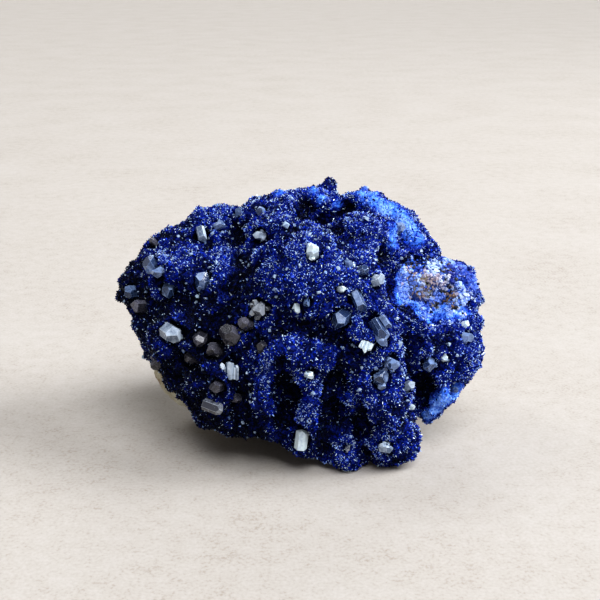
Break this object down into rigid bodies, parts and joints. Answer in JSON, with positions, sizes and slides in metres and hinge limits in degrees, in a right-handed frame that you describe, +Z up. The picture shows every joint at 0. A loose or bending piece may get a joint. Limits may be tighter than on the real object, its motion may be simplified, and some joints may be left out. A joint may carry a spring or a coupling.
{
  "type": "azurite mineral specimen",
  "caption": "Loose lump of drusy azurite crust on pale host rock, studded with small six-sided pale crystals, standing on a flat broken foot.",
  "frame": {"origin": "on the ground, under the middle of the bounding box", "axes": "+Z up; the crystal-studded front faces -Y, and the length lies along X"},
  "size_m": [0.0592, 0.0404, 0.0382],
  "materials": {
    "azurite": "fine sparkling druse of deep blue crystals, powdery bright blue where it is broken or rubbed",
    "host_rock": "rough broken rock, pale beige to iron-stained brown",
    "pale_crystal": "translucent greyish white, glassy faces with faint striations"
  },
  "bodies": {
    "root": {"azurite_crust": "azurite", "matrix_rock": "host_rock", "pale_crystal_01": "pale_crystal", "pale_crystal_02": "pale_crystal", "pale_crystal_03": "pale_crystal", "pale_crystal_04": "pale_crystal", "pale_crystal_05": "pale_crystal", "pale_crystal_06": "pale_crystal", "pale_crystal_07": "pale_crystal", "pale_crystal_08": "pale_crystal", "pale_crystal_09": "pale_crystal", "pale_crystal_10": "pale_crystal", "pale_crystal_11": "pale_crystal", "pale_crystal_12": "pale_crystal", "pale_crystal_13": "pale_crystal", "pale_crystal_14": "pale_crystal", "pale_crystal_15": "pale_crystal", "pale_crystal_16": "pale_crystal", "pale_crystal_17": "pale_crystal", "pale_crystal_18": "pale_crystal", "pale_crystal_19": "pale_crystal", "pale_crystal_20": "pale_crystal", "pale_crystal_21": "pale_crystal", "pale_crystal_22": "pale_crystal", "pale_crystal_23": "pale_crystal", "pale_crystal_24": "pale_crystal", "pale_crystal_25": "pale_crystal", "pale_crystal_26": "pale_crystal", "pale_crystal_27": "pale_crystal", "pale_crystal_28": "pale_crystal", "pale_crystal_29": "pale_crystal", "pale_crystal_30": "pale_crystal", "pale_crystal_31": "pale_crystal", "pale_crystal_32": "pale_crystal", "pale_crystal_33": "pale_crystal", "pale_crystal_34": "pale_crystal", "pale_crystal_35": "pale_crystal", "pale_crystal_36": "pale_crystal", "pale_crystal_37": "pale_crystal", "pale_crystal_38": "pale_crystal", "pale_crystal_39": "pale_crystal", "pale_crystal_40": "pale_crystal", "pale_crystal_41": "pale_crystal", "pale_crystal_42": "pale_crystal", "pale_crystal_43": "pale_crystal", "pale_crystal_44": "pale_crystal", "pale_crystal_45": "pale_crystal", "pale_crystal_46": "pale_crystal", "pale_crystal_47": "pale_crystal", "pale_crystal_48": "pale_crystal", "pale_crystal_49": "pale_crystal", "pale_crystal_50": "pale_crystal", "pale_crystal_51": "pale_crystal", "pale_crystal_52": "pale_crystal", "pale_crystal_53": "pale_crystal"}
  },
  "joints": []
}
